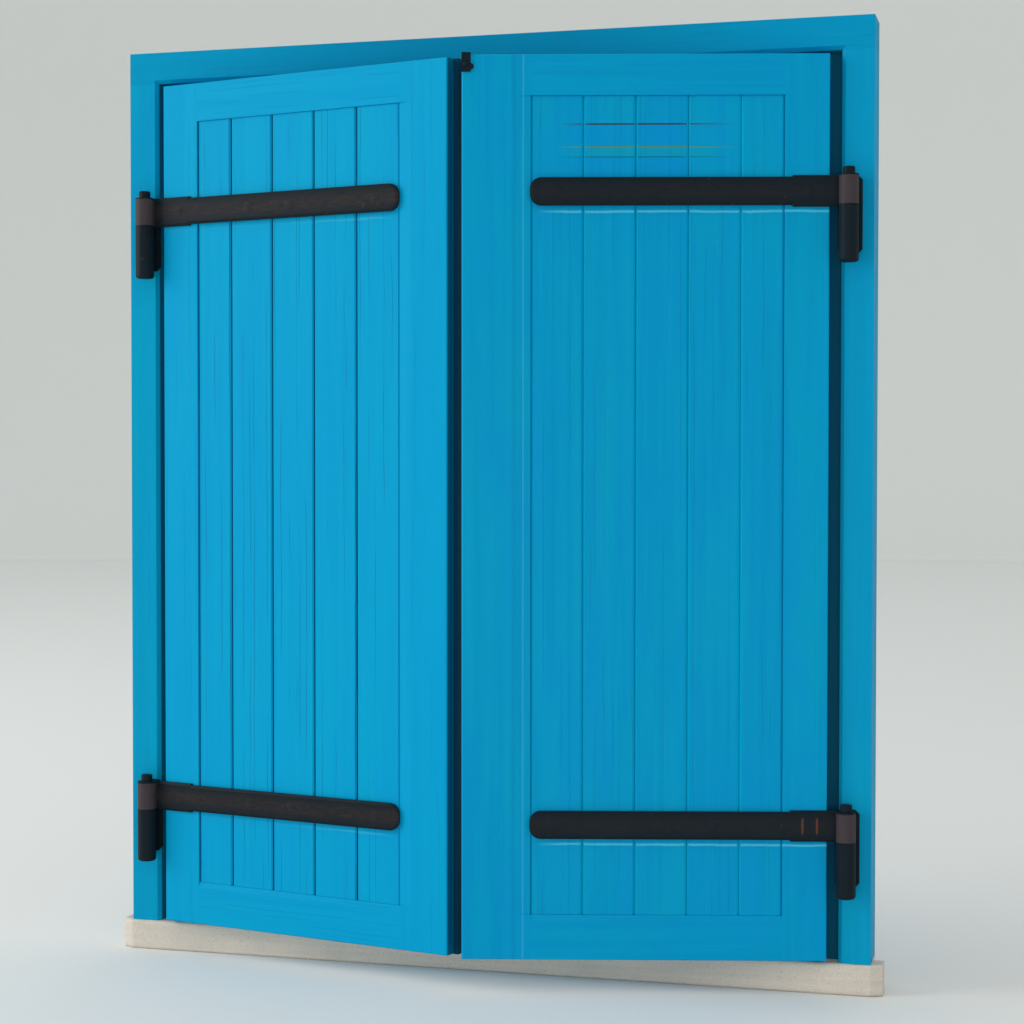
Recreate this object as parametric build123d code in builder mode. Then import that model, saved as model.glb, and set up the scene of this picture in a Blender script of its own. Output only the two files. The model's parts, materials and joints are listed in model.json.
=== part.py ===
from build123d import *
from math import cos, radians, sin
import os

# Window shutters: two boarded leaves on strap hinges, in a rebated frame on a stone sill.
# Millimetres. X runs across the opening, Y back through it and Z up. The origin is the middle of the
# sill's underside, in line with the frame's front face.

# Frame
frame_width = 1060
frame_height = 1250
frame_depth = 62
jamb_face = 43
head_face = 44
frame_arris = 5
stop_reach = 20
stop_gap = 1
frame_tenon_width = 24
frame_tenon_thickness = 14
frame_tenon_length = 30
tenon_inset = 8
joint_play = 0.2

# Sill
sill_height = 42
sill_overhang = 16
sill_corner = 8
sill_horn_depth = 32
sill_nose = 3
sill_tail = 13
sill_arris = 2
upstand_height = 18

# Screw holes that hold the frame in its opening, through the stop lips
fixing_radius = 4
fixing_head_radius = 7

# Leaves: gaps round them, the half lap where they meet, and how far they stand open
leaf_thickness = 28
hinge_gap = 11
head_gap = 6.5
sill_gap = 4.5
meeting_gap = 3
meeting_offset = 8.5
lap_reach = 9
lap_back_gap = 4
lap_face_gap = 1
rest_angle = {"left": 12.8, "right": 13.8}

# Stiles and rails
hinge_stile_width = 59
meeting_stile_width = 74
top_rail_height = 54
bottom_rail_height = 60
rail_tenon_length = 40
rail_tenon_thickness = 10
rail_tenon_margin = 10
stile_bevel = 18
rail_bevel = 7
bevel_depth = 1.5
leaf_arris = 1.5

# Boards
board_count = 5
narrow_board = 57
board_thickness = 16
board_recess = 2
board_gap = 0.6
board_vee = 2.5
tongue_thickness = 6
tongue_length = 7
groove_depth = 8

# Ledges behind the boards
ledge_height = 90
ledge_end_gap = 0.5
ledge_arris = 3

# Straps
strap_inset = 180
strap_thickness = 5
strap_width = 37
strap_lap = 1
strap_head_width = 41
strap_head_reach = 49
strap_end_radius = 15
strap_bevel = 3.5
strap_bevel_depth = 1.5

# Pintles
pin_radius = 8
pin_play = 0.08
pin_above_eye = 10
pin_tip = 2
pivot_offset = 23
pivot_stand_off = 20
eye_lift = 0.3
barrel_length = 73
barrel_rounding = 4
plate_width = 32
plate_thickness = 4
plate_above = 21
plate_below = 82
plate_corner = 6
web_width = 14
stud_radius = 5
stud_hole_play = 0.5
stud_heights = (-62, 2)
stud_tail = 2
pocket_radius = 13
pocket_depth = 14
stud_washer_radius = 10
stud_washer_thickness = 2
stud_nut_flats = 17
stud_nut_thickness = 8
thread_play = 0.05

# Coach bolts through the straps
bolt_radius = 4
bolt_hole_play = 0.3
bolt_head_radius = 8
bolt_head_height = 1.8
bolt_tail = 2.4
bolted_boards = {2, 3, 5}
washer_radius = 9
washer_thickness = 1.6
nut_flats = 13
nut_thickness = 6.5

# Countersunk wood screws
screw_radius = 2
screw_head_radius = 4
screw_length = 21
screw_rise = 28
plate_screw_length = 11
catch_screw_length = 13

# Iron catch on the right leaf's top corner
catch_width = 12
catch_height = 23
catch_thickness = 2.5
catch_return = 13
catch_ear_radius = 4
catch_ear_drop = 16
catch_screw_drop = 13

# Sliding bolts inside the right leaf
slide_plate_width = 36
slide_plate_length = 130
slide_plate_thickness = 3
slide_plate_inset = 24
slide_screw_inset = 6
slide_edge_inset = 51
slide_rod_radius = 5
slide_play = 0.08
slide_stand_off = 10
slide_guide_width = 24
slide_guide_height = 14
slide_guide_wall = 4
slide_guide_inset = 22
slide_rod_retreat = 16
slide_rod_tail = 9
slide_knob_radius = 5
slide_knob_length = 14
keeper_play = 1
keeper_depth = 20

# Places worked out from the sizes above
sides = {"left": -1, "right": 1}
jamb_edge = frame_width / 2 - jamb_face
lip_edge = jamb_edge - stop_reach
hinge_edge = jamb_edge - hinge_gap
pivot_x = hinge_edge + pivot_offset
pivot_y = -pivot_stand_off
eye_radius = pin_radius + pin_play + strap_thickness
stop_y = pivot_y + eye_radius + leaf_thickness + stop_gap
frame_top = sill_height + frame_height
head_bottom = frame_top - head_face
upstand_top = sill_height + upstand_height
leaf_bottom = sill_height + sill_gap
leaf_top = head_bottom - head_gap
panel_bottom = leaf_bottom + bottom_rail_height
panel_top = leaf_top - top_rail_height
panel_start = hinge_stile_width
leaf_width = {name: hinge_edge + side * meeting_offset - meeting_gap / 2 for name, side in sides.items()}
panel_end = leaf_width["left"] - meeting_stile_width
wide_board = (panel_end - panel_start - narrow_board) / (board_count - 1)
strap_reach = panel_end + strap_lap
slide_centre = leaf_width["right"] - slide_edge_inset
board_edges = [panel_start] + [panel_start + narrow_board + wide_board * i for i in range(board_count)]
board_back = board_recess + board_thickness
tongue_front = board_recess + (board_thickness - tongue_thickness) / 2
tongue_back = tongue_front + tongue_thickness
lip_split = leaf_thickness / 2
strap_heights = {"top": leaf_top - strap_inset, "bottom": leaf_bottom + strap_inset}
bolt_places = [hinge_stile_width / 2] + [(board_edges[n - 1] + board_edges[n]) / 2 for n in sorted(bolted_boards)]
bolt_hole_radius = bolt_radius + bolt_hole_play
fixing_x = (jamb_edge + lip_edge) / 2
slide_reach = leaf_thickness + slide_stand_off
keeper_radius = slide_rod_radius + keeper_play


def leaf_point(name, u, v, z):
    # u runs from the hinge edge towards the meeting edge, v from the front face to the back
    turn = radians(rest_angle[name])
    along = pivot_offset + u
    back = eye_radius + v
    x = sides[name] * (pivot_x - along * cos(turn) - back * sin(turn))
    y = pivot_y - along * sin(turn) + back * cos(turn)
    return Vector(x, y, z)


def leaf_direction(name, u, v):
    turn = radians(rest_angle[name])
    x = -sides[name] * (u * cos(turn) + v * sin(turn))
    return Vector(x, v * cos(turn) - u * sin(turn), 0)


def plan_plane(name, z):
    # looks down on a leaf, with its origin on the front corner of the hinge edge
    return Plane(leaf_point(name, 0, 0, z), x_dir=leaf_direction(name, 1, 0), z_dir=(0, 0, 1))


def front_plane(name, u, v, z):
    # faces out of the leaf's front
    return Plane(leaf_point(name, u, v, z), x_dir=leaf_direction(name, 1, 0), z_dir=leaf_direction(name, 0, -1))


def back_plane(name, u, v, z):
    # faces out of the leaf's back
    return Plane(leaf_point(name, u, v, z), x_dir=leaf_direction(name, 1, 0), z_dir=leaf_direction(name, 0, 1))


def plan_solid(name, outline, low, high, mode=Mode.ADD):
    # a leaf's plan outline of (u, v) points, drawn up from low to high
    with BuildSketch(plan_plane(name, low), mode=Mode.PRIVATE) as plan:
        with BuildLine():
            Polyline(*[(u, -sides[name] * v) for u, v in outline], close=True)
        make_face()
    extrude(plan.sketch, amount=high - low, mode=mode)


def plan_box(name, u_range, v_range, z_range, mode=Mode.ADD):
    (u0, u1), (v0, v1) = u_range, v_range
    plan_solid(name, [(u0, v0), (u1, v0), (u1, v1), (u0, v1)], *z_range, mode)


def slope_cut(name, u_range, edge, run, depth):
    # planes a slope off the front, as deep as depth at the height of the edge and nothing after the run
    across = leaf_direction(name, 0, 1) * -sides[name]
    end = Plane(leaf_point(name, u_range[0], 0, edge), x_dir=across, z_dir=leaf_direction(name, 1, 0))
    with BuildSketch(end, mode=Mode.PRIVATE) as slope:
        with BuildLine():
            Polyline((0, 0), (0, run), (-sides[name] * depth, 0), close=True)
        make_face()
    extrude(slope.sketch, amount=u_range[1] - u_range[0], mode=Mode.SUBTRACT)


def leaf_ends_arris(name, low, high, u_range):
    # breaks the front edge of the leaf's top and bottom wherever this piece reaches them
    if high == leaf_top:
        slope_cut(name, u_range, leaf_top, -leaf_arris, leaf_arris)
    if low == leaf_bottom:
        slope_cut(name, u_range, leaf_bottom, leaf_arris, leaf_arris)


def drill(plane, radius, depth):
    # a straight hole from the plane's origin, against the plane's normal
    with Locations(plane):
        Cylinder(radius, depth, align=(Align.CENTER, Align.CENTER, Align.MAX), mode=Mode.SUBTRACT)


def countersink(plane, radius, head_radius, depth):
    with Locations(plane):
        Cylinder(radius, depth, align=(Align.CENTER, Align.CENTER, Align.MAX), mode=Mode.SUBTRACT)
        Cone(radius, head_radius, head_radius - radius, align=(Align.CENTER, Align.CENTER, Align.MAX),
             mode=Mode.SUBTRACT)


def copies(piece, planes):
    # the same small piece at every plane, as separate solids
    with BuildPart() as group:
        with Locations(*planes):
            add(piece.part)
    return group


def save(piece, name):
    piece.part.label = name
    export_step(piece.part, f"parts/{name}.step")


# Frame: jambs, head and sill

def arris_tool():
    # the sloping cut round the frame's inner front edge
    with BuildPart() as tool:
        for depth, grow in ((frame_arris, 0), (0, frame_arris)):
            with BuildSketch(Plane.XZ.offset(-depth)):
                Rectangle(2 * (jamb_edge + grow), head_bottom + grow, align=(Align.CENTER, Align.MIN))
        loft()
    return tool


def tenon_box(side, play, mode):
    middle = side * (frame_width / 2 - tenon_inset - frame_tenon_width / 2)
    with BuildSketch(Plane.XY.offset(head_bottom), mode=Mode.PRIVATE) as foot:
        with Locations((middle, (frame_depth + stop_y) / 2)):
            Rectangle(frame_tenon_width + 2 * play, frame_tenon_thickness + 2 * play)
    extrude(foot.sketch, amount=frame_tenon_length + play, mode=mode)


def pintle_holes(side):
    for height in strap_heights.values():
        for rise in stud_heights:
            drill(Plane((side * pivot_x, 0, height + rise), z_dir=(0, -1, 0)), stud_radius + stud_hole_play,
                  frame_depth)
            drill(Plane((side * pivot_x, frame_depth, height + rise), z_dir=(0, 1, 0)), pocket_radius,
                  pocket_depth)


def fixing_holes(side):
    # level with the straps, which hide them from the front
    for height in strap_heights.values():
        countersink(Plane((side * fixing_x, stop_y, height), z_dir=(0, -1, 0)), fixing_radius,
                    fixing_head_radius, frame_depth - stop_y)


def frame_jamb(side):
    with BuildPart() as jamb:
        with BuildSketch(Plane.XY.offset(sill_height)):
            with BuildLine():
                Polyline((side * frame_width / 2, 0), (side * jamb_edge, 0), (side * jamb_edge, stop_y),
                         (side * lip_edge, stop_y), (side * lip_edge, frame_depth),
                         (side * frame_width / 2, frame_depth), close=True)
            make_face()
        extrude(amount=head_bottom - sill_height)
        add(frame_arris_tool.part, mode=Mode.SUBTRACT)
        tenon_box(side, 0, Mode.ADD)
        pintle_holes(side)
        fixing_holes(side)
    return jamb


def frame_head():
    with BuildPart() as head:
        with BuildSketch(Plane.YZ):
            with BuildLine():
                Polyline((0, frame_top), (0, head_bottom), (stop_y, head_bottom),
                         (stop_y, head_bottom - stop_reach), (frame_depth, head_bottom - stop_reach),
                         (frame_depth, frame_top), close=True)
            make_face()
        extrude(amount=frame_width / 2, both=True)
        with BuildSketch(Plane.XY.offset(head_bottom)):
            for side in sides.values():
                with Locations((side * (lip_edge + frame_width / 2) / 2, frame_depth / 2)):
                    Rectangle(frame_width / 2 - lip_edge, 2 * frame_depth)
        extrude(amount=-2 * stop_reach, mode=Mode.SUBTRACT)
        add(frame_arris_tool.part, mode=Mode.SUBTRACT)
        for side in sides.values():
            tenon_box(side, joint_play, Mode.SUBTRACT)
        keeper_hole(head_bottom - stop_reach, 1)
    return head


def sill():
    # the horns on both sides are splayed from the frame's edges and stop short of the sill's back
    edge = frame_width / 2
    horn = edge + sill_overhang
    outline = [(-edge, -sill_nose), (edge, -sill_nose), (horn, sill_corner - sill_nose),
               (horn, sill_horn_depth), (edge, sill_horn_depth), (edge, frame_depth + sill_tail),
               (-edge, frame_depth + sill_tail), (-edge, sill_horn_depth), (-horn, sill_horn_depth),
               (-horn, sill_corner - sill_nose)]
    with BuildPart() as stone:
        with BuildSketch(Plane.XY):
            with BuildLine():
                Polyline(*outline, close=True)
            make_face()
        extrude(amount=sill_height)
        rim = stone.edges().filter_by(Plane.XY).filter_by(lambda e: e.center().Y < sill_corner - sill_nose)
        chamfer(rim, length=sill_arris)
        with BuildSketch(Plane.XY.offset(sill_height)):
            with Locations((0, (stop_y + frame_depth) / 2)):
                Rectangle(2 * lip_edge, frame_depth - stop_y)
        extrude(amount=upstand_height)
        keeper_hole(upstand_top, -1)
    return stone


def keeper_hole(mouth, direction):
    # where a sliding bolt's rod goes in when the right leaf is shut
    x = hinge_edge - slide_centre
    y = pivot_y + eye_radius + slide_reach
    drill(Plane((x, y, mouth), z_dir=(0, 0, -direction)), keeper_radius, keeper_depth)


# Pintles and what holds them

def pintle(side, height):
    with BuildPart() as iron:
        with BuildSketch(Plane.XZ) as plate:
            with Locations((side * pivot_x, height + (plate_above - plate_below) / 2)):
                Rectangle(plate_width, plate_above + plate_below)
            chamfer(plate.vertices(), length=plate_corner)
        extrude(amount=plate_thickness)
        top = height - strap_head_width / 2 - eye_lift
        with BuildSketch(Plane.XY.offset(height - plate_below)):
            with Locations((side * pivot_x, pivot_y / 2)):
                Rectangle(web_width, pivot_stand_off)
        extrude(amount=top - height + plate_below)
        with BuildSketch(Plane.XY.offset(top - barrel_length)):
            with Locations((side * pivot_x, pivot_y)):
                Circle(eye_radius)
        extrude(amount=barrel_length)
        foot = iron.edges().filter_by(GeomType.CIRCLE).sort_by(Axis.Z)[0]
        fillet(foot, barrel_rounding)
        with BuildSketch(Plane.XY.offset(top)):
            with Locations((side * pivot_x, pivot_y)):
                Circle(pin_radius)
        extrude(amount=strap_head_width + eye_lift + pin_above_eye)
        tip = iron.edges().filter_by(GeomType.CIRCLE).sort_by(Axis.Z)[-1]
        fillet(tip, pin_tip)
        reach = frame_depth - pocket_depth + stud_washer_thickness + stud_nut_thickness + stud_tail
        for rise in stud_heights:
            with Locations(Plane((side * pivot_x, 0, height + rise), z_dir=(0, 1, 0))):
                Cylinder(stud_radius, reach, align=(Align.CENTER, Align.CENTER, Align.MIN))
    return iron


def washer(radius, bore, thickness):
    with BuildPart() as disc:
        with BuildSketch():
            Circle(radius)
            Circle(bore, mode=Mode.SUBTRACT)
        extrude(amount=thickness)
    return disc


def nut(flats, bore, thickness):
    with BuildPart() as hexagon:
        with BuildSketch():
            RegularPolygon(flats / 2, 6, major_radius=False)
            Circle(bore, mode=Mode.SUBTRACT)
        extrude(amount=thickness)
    return hexagon


def stud_planes(depth):
    return [
        Plane((side * pivot_x, depth, height + rise), z_dir=(0, 1, 0))
        for side in sides.values()
        for height in strap_heights.values()
        for rise in stud_heights
    ]


# Leaf: stiles, rails, boards and ledges

def stile_joints(name, edge, way):
    # groove for the boards and mortises for the rails, cut into the stile's inner edge
    groove = sorted((edge, edge + way * groove_depth))
    plan_box(name, groove, (tongue_front - joint_play, tongue_back + joint_play),
             (panel_bottom - groove_depth, panel_top + groove_depth), Mode.SUBTRACT)
    socket = sorted((edge, edge + way * (rail_tenon_length + 2 * joint_play)))
    tenon_front = (leaf_thickness - rail_tenon_thickness) / 2 - joint_play
    tenon_back = (leaf_thickness + rail_tenon_thickness) / 2 + joint_play
    for low, high in ((leaf_bottom, panel_bottom), (panel_top, leaf_top)):
        plan_box(name, socket, (tenon_front, tenon_back),
                 (low + rail_tenon_margin - joint_play, high - rail_tenon_margin + joint_play), Mode.SUBTRACT)


def hinge_stile(name):
    with BuildPart() as stile:
        outline = [(0, leaf_arris), (leaf_arris, 0), (panel_start, 0), (panel_start, leaf_thickness),
                   (0, leaf_thickness)]
        plan_solid(name, outline, leaf_bottom, leaf_top)
        leaf_ends_arris(name, leaf_bottom, leaf_top, (0, panel_start))
        stile_joints(name, panel_start, -1)
        for height in strap_heights.values():
            drill(front_plane(name, bolt_places[0], 0, height), bolt_hole_radius, leaf_thickness)
    return stile


def meeting_outline(name):
    # the left stile has its lip at the back and the right stile at the front
    front = leaf_width[name]
    if name == "left":
        split = lip_split + lap_face_gap / 2
        back = front + lap_reach
    else:
        split = lip_split - lap_face_gap / 2
        back = front - lap_reach + meeting_gap - lap_back_gap
    return [(panel_end, 0), (front - leaf_arris, 0), (front, leaf_arris), (front, split), (back, split), (back, leaf_thickness),
            (panel_end, leaf_thickness)]


def meeting_stile(name):
    with BuildPart() as stile:
        plan_solid(name, meeting_outline(name), leaf_bottom, leaf_top)
        leaf_ends_arris(name, leaf_bottom, leaf_top, (panel_end, leaf_width[name]))
        stile_joints(name, panel_end, 1)
        bevel = [(panel_end, 0), (panel_end + stile_bevel, 0), (panel_end, bevel_depth)]
        plan_solid(name, bevel, panel_bottom, panel_top, Mode.SUBTRACT)
        if name == "right":
            drill(catch_screw_plane(), screw_radius + thread_play, catch_screw_length + joint_play)
            for plane in slide_screw_planes("top") + slide_screw_planes("bottom"):
                drill(plane, screw_radius + thread_play, plate_screw_length + joint_play)
    return stile


def rail(name, low, high, inner, way):
    # inner is the height of the edge that meets the boards, and way points into the rail
    with BuildPart() as bar:
        plan_box(name, (panel_start, panel_end), (0, leaf_thickness), (low, high))
        leaf_ends_arris(name, low, high, (panel_start, panel_end))
        tenon_front = (leaf_thickness - rail_tenon_thickness) / 2
        plan_box(name, (panel_start - rail_tenon_length, panel_end + rail_tenon_length),
                 (tenon_front, tenon_front + rail_tenon_thickness),
                 (low + rail_tenon_margin, high - rail_tenon_margin))
        groove = sorted((inner, inner + way * groove_depth))
        plan_box(name, (panel_start, panel_end), (tongue_front - joint_play, tongue_back + joint_play), groove,
                 Mode.SUBTRACT)
    return bar


def top_rail(name):
    return rail(name, panel_top, leaf_top, panel_top, 1)


def bottom_rail(name):
    with BuildPart() as bar:
        add(rail(name, leaf_bottom, panel_bottom, panel_bottom, -1).part)
        slope_cut(name, (panel_start, panel_end), panel_bottom, -rail_bevel, bevel_depth)
    return bar


def board(name, number):
    left = board_edges[number - 1] + board_gap / 2
    right = board_edges[number] - board_gap / 2
    if number == 1:
        joint = [(left, tongue_back), (left - tongue_length, tongue_back), (left - tongue_length, tongue_front),
                 (left, tongue_front)]
    else:
        joint = [(left, tongue_back + joint_play), (left + groove_depth, tongue_back + joint_play),
                 (left + groove_depth, tongue_front - joint_play), (left, tongue_front - joint_play)]
    outline = [(left, board_recess + board_vee), (left + board_vee, board_recess),
               (right - board_vee, board_recess), (right, board_recess + board_vee), (right, tongue_front),
               (right + tongue_length, tongue_front), (right + tongue_length, tongue_back),
               (right, tongue_back), (right, board_back), (left, board_back)] + joint
    across = (left - groove_depth, right + groove_depth)
    low = panel_bottom - tongue_length
    high = panel_top + tongue_length
    with BuildPart() as plank:
        plan_solid(name, outline, low, high)
        for ends in ((low, panel_bottom + board_gap / 2), (panel_top - board_gap / 2, high)):
            plan_box(name, across, (0, tongue_front), ends, Mode.SUBTRACT)
            plan_box(name, across, (tongue_back, leaf_thickness), ends, Mode.SUBTRACT)
        middle = (board_edges[number - 1] + board_edges[number]) / 2
        for height in strap_heights.values():
            if number in bolted_boards:
                drill(front_plane(name, middle, 0, height), bolt_hole_radius, leaf_thickness)
            drill(ledge_screw_plane(name, number, height), screw_radius + thread_play,
                  screw_length + joint_play)
    return plank


def ledge_screw_plane(name, number, height):
    # the screws of neighbouring boards stand above and below the ledge's middle by turns
    middle = (board_edges[number - 1] + board_edges[number]) / 2
    rise = screw_rise if number % 2 else -screw_rise
    return back_plane(name, middle, leaf_thickness, height + rise)


def ledge_screw_planes(name):
    return [
        ledge_screw_plane(name, number, height)
        for height in strap_heights.values()
        for number in range(1, board_count + 1)
    ]


def ledge(name, height):
    low = height - ledge_height / 2
    with BuildPart() as batten:
        plan_box(name, (panel_start + ledge_end_gap, panel_end - ledge_end_gap), (board_back, leaf_thickness),
                 (low, low + ledge_height))
        rear = batten.faces().sort_by(Axis(leaf_point(name, 0, 0, 0), leaf_direction(name, 0, 1)))[-1]
        chamfer(rear.edges().filter_by(Plane.XY), length=ledge_arris)
        for u in bolt_places[1:]:
            drill(front_plane(name, u, board_back, height), bolt_hole_radius, leaf_thickness)
        for number in range(1, board_count + 1):
            countersink(ledge_screw_plane(name, number, height), screw_radius + thread_play,
                        screw_head_radius + thread_play, leaf_thickness)
    return batten


# Strap hinges and their bolts

def strap(name, height):
    with BuildPart() as iron:
        with BuildSketch(front_plane(name, 0, 0, height)) as blade:
            with Locations((-pivot_offset, 0)):
                Rectangle(pivot_offset + strap_head_reach, strap_head_width, align=(Align.MIN, Align.CENTER))
                Rectangle(pivot_offset + strap_reach, strap_width, align=(Align.MIN, Align.CENTER))
            fillet(blade.vertices().group_by(Axis.X)[-1], strap_end_radius)
        extrude(amount=strap_thickness)
        outward = Axis(leaf_point(name, 0, 0, 0), leaf_direction(name, 0, -1))
        face = iron.faces().sort_by(outward)[-1]
        root = leaf_point(name, -pivot_offset, -strap_thickness, height)
        rim = [edge for edge in face.edges() if (edge.center() - root).length > strap_head_width / 4]
        chamfer(rim, length=strap_bevel, length2=strap_bevel_depth, reference=face)
        with BuildSketch(plan_plane(name, height - strap_head_width / 2)):
            with Locations((-pivot_offset, sides[name] * eye_radius)):
                Circle(eye_radius)
        extrude(amount=strap_head_width)
        with BuildSketch(plan_plane(name, height - strap_head_width)):
            with Locations((-pivot_offset, sides[name] * eye_radius)):
                Circle(pin_radius + pin_play)
        extrude(amount=2 * strap_head_width, mode=Mode.SUBTRACT)
        for u in bolt_places:
            drill(front_plane(name, u, -strap_thickness, height), bolt_hole_radius, strap_thickness)
    return iron


def domed_bolt(head_radius, head_height, shank_radius, shank_length):
    # the underside of the head lies on the XY plane and the shank runs down from it
    with BuildPart() as bolt:
        with BuildSketch(Plane.XZ):
            with BuildLine():
                Polyline((0, head_height), (0, 0), (head_radius, 0))
                TangentArc((0, head_height), (head_radius, 0), tangent=(1, 0))
            make_face()
        revolve(axis=Axis.Z)
        Cylinder(shank_radius, shank_length, align=(Align.CENTER, Align.CENTER, Align.MAX))
    return bolt


def wood_screw(length):
    # a countersunk screw with its head flush with the XY plane
    with BuildPart() as screw:
        with BuildSketch(Plane.XZ):
            with BuildLine():
                Polyline((0, 0), (screw_head_radius, 0), (screw_radius, screw_radius - screw_head_radius),
                         (screw_radius, 2 * screw_radius - length), (0, -length), close=True)
            make_face()
        revolve(axis=Axis.Z)
    return screw


# Iron catch and sliding bolts of the right leaf

def top_catch():
    edge = leaf_width["right"]
    with BuildPart() as iron:
        with BuildSketch(front_plane("right", edge, 0, leaf_top)):
            Rectangle(catch_width, catch_height, align=(Align.MAX, Align.MIN))
            with Locations((-catch_width, catch_ear_drop)):
                Circle(catch_ear_radius)
        extrude(amount=catch_thickness)
        plan_box("right", (edge - catch_width, edge), (-catch_thickness, catch_return),
                 (leaf_top, leaf_top + catch_thickness))
        drill(catch_screw_plane(), screw_radius + thread_play, catch_thickness)
    return iron


def catch_screw_plane():
    u = leaf_width["right"] - catch_width / 2
    return front_plane("right", u, -catch_thickness, leaf_top - catch_screw_drop)


def slide_levels(end):
    # the leaf's end, and the way from it towards the middle of the leaf
    return (leaf_top, -1) if end == "top" else (leaf_bottom, 1)


def slide_screw_planes(end):
    level, way = slide_levels(end)
    planes = []
    for du in (-1, 1):
        for dz in (0, 1):
            u = slide_centre + du * (slide_plate_width / 2 - slide_screw_inset)
            step = slide_plate_inset + slide_screw_inset + dz * (slide_plate_length - 2 * slide_screw_inset)
            planes.append(back_plane("right", u, leaf_thickness + slide_plate_thickness, level + way * step))
    return planes


def slide_plate(end):
    level, way = slide_levels(end)
    low, high = sorted((level + way * slide_plate_inset, level + way * (slide_plate_inset + slide_plate_length)))
    front = leaf_thickness
    half = slide_plate_width / 2
    guide = slide_guide_width / 2
    back = slide_reach + slide_rod_radius + slide_guide_wall
    with BuildPart() as iron:
        plan_box("right", (slide_centre - half, slide_centre + half), (front, front + slide_plate_thickness),
                 (low, high))
        for step in (slide_guide_inset, slide_plate_length - slide_guide_inset):
            middle = level + way * (slide_plate_inset + step)
            plan_box("right", (slide_centre - guide, slide_centre + guide), (front, back),
                     (middle - slide_guide_height / 2, middle + slide_guide_height / 2))
        with BuildSketch(plan_plane("right", low)):
            with Locations((slide_centre, -slide_reach)):
                Circle(slide_rod_radius + slide_play)
        extrude(amount=slide_plate_length, mode=Mode.SUBTRACT)
        for plane in slide_screw_planes(end):
            countersink(plane, screw_radius + thread_play, screw_head_radius + thread_play,
                        2 * slide_plate_thickness)
    return iron


def slide_rod(end):
    level, way = slide_levels(end)
    near = level + way * slide_rod_retreat
    far = level + way * (slide_plate_inset + slide_plate_length + slide_rod_tail)
    low, high = sorted((near, far))
    with BuildPart() as iron:
        with BuildSketch(plan_plane("right", low)):
            with Locations((slide_centre, -slide_reach)):
                Circle(slide_rod_radius)
        extrude(amount=high - low)
        chamfer(iron.edges().filter_by(GeomType.CIRCLE), length=1)
        grip = level + way * (slide_plate_inset + slide_plate_length / 2)
        with Locations(back_plane("right", slide_centre, slide_reach, grip)):
            Cylinder(slide_knob_radius * 0.7, slide_rod_radius + slide_knob_length,
                     align=(Align.CENTER, Align.CENTER, Align.MIN))
        with Locations(back_plane("right", slide_centre, slide_reach + slide_rod_radius + slide_knob_length,
                                  grip)):
            Sphere(slide_knob_radius)
    return iron


# Make every piece and write it

os.makedirs("parts", exist_ok=True)
frame_arris_tool = arris_tool()

save(frame_head(), "frame_head")
save(sill(), "sill")
for name, side in sides.items():
    save(frame_jamb(side), f"frame_jamb_{name}")
    for end, height in strap_heights.items():
        save(pintle(side, height), f"pintle_{end}_{name}")

pocket_floor = frame_depth - pocket_depth
stud_washer = washer(stud_washer_radius, stud_radius + stud_hole_play, stud_washer_thickness)
stud_nut = nut(stud_nut_flats, stud_radius + thread_play, stud_nut_thickness)
save(copies(stud_washer, stud_planes(pocket_floor)), "pintle_washers")
save(copies(stud_nut, stud_planes(pocket_floor + stud_washer_thickness)), "pintle_nuts")

bolt_length = strap_thickness + leaf_thickness + washer_thickness + nut_thickness + bolt_tail
coach_bolt = domed_bolt(bolt_head_radius, bolt_head_height, bolt_radius, bolt_length)
bolt_washer = washer(washer_radius, bolt_hole_radius, washer_thickness)
bolt_nut = nut(nut_flats, bolt_radius + thread_play, nut_thickness)
board_screw = wood_screw(screw_length)

for name in sides:
    save(hinge_stile(name), f"{name}_hinge_stile")
    save(meeting_stile(name), f"{name}_meeting_stile")
    save(top_rail(name), f"{name}_top_rail")
    save(bottom_rail(name), f"{name}_bottom_rail")
    for number in range(1, board_count + 1):
        save(board(name, number), f"{name}_board_{number}")
    for end, height in strap_heights.items():
        save(ledge(name, height), f"{name}_ledge_{end}")
        save(strap(name, height), f"{name}_strap_{end}")
    bolts = [(u, height) for u in bolt_places for height in strap_heights.values()]
    washer_depth = leaf_thickness + washer_thickness
    save(copies(coach_bolt, [front_plane(name, u, -strap_thickness, z) for u, z in bolts]),
         f"{name}_strap_bolts")
    save(copies(bolt_washer, [back_plane(name, u, leaf_thickness, z) for u, z in bolts]),
         f"{name}_bolt_washers")
    save(copies(bolt_nut, [back_plane(name, u, washer_depth, z) for u, z in bolts]), f"{name}_bolt_nuts")
    save(copies(board_screw, ledge_screw_planes(name)), f"{name}_ledge_screws")

save(top_catch(), "top_catch")
catch_screw = domed_bolt(screw_head_radius, screw_radius, screw_radius, catch_screw_length)
save(copies(catch_screw, [catch_screw_plane()]), "catch_screw")
plate_screw = wood_screw(plate_screw_length)
for end in strap_heights:
    save(slide_plate(end), f"slide_plate_{end}")
    save(slide_rod(end), f"slide_rod_{end}")
    save(copies(plate_screw, slide_screw_planes(end)), f"slide_screws_{end}")
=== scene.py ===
import json

from math import cos, pi, radians, sin, sqrt, tan

import bmesh
import bpy
from mathutils import Matrix, Vector, noise


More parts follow.
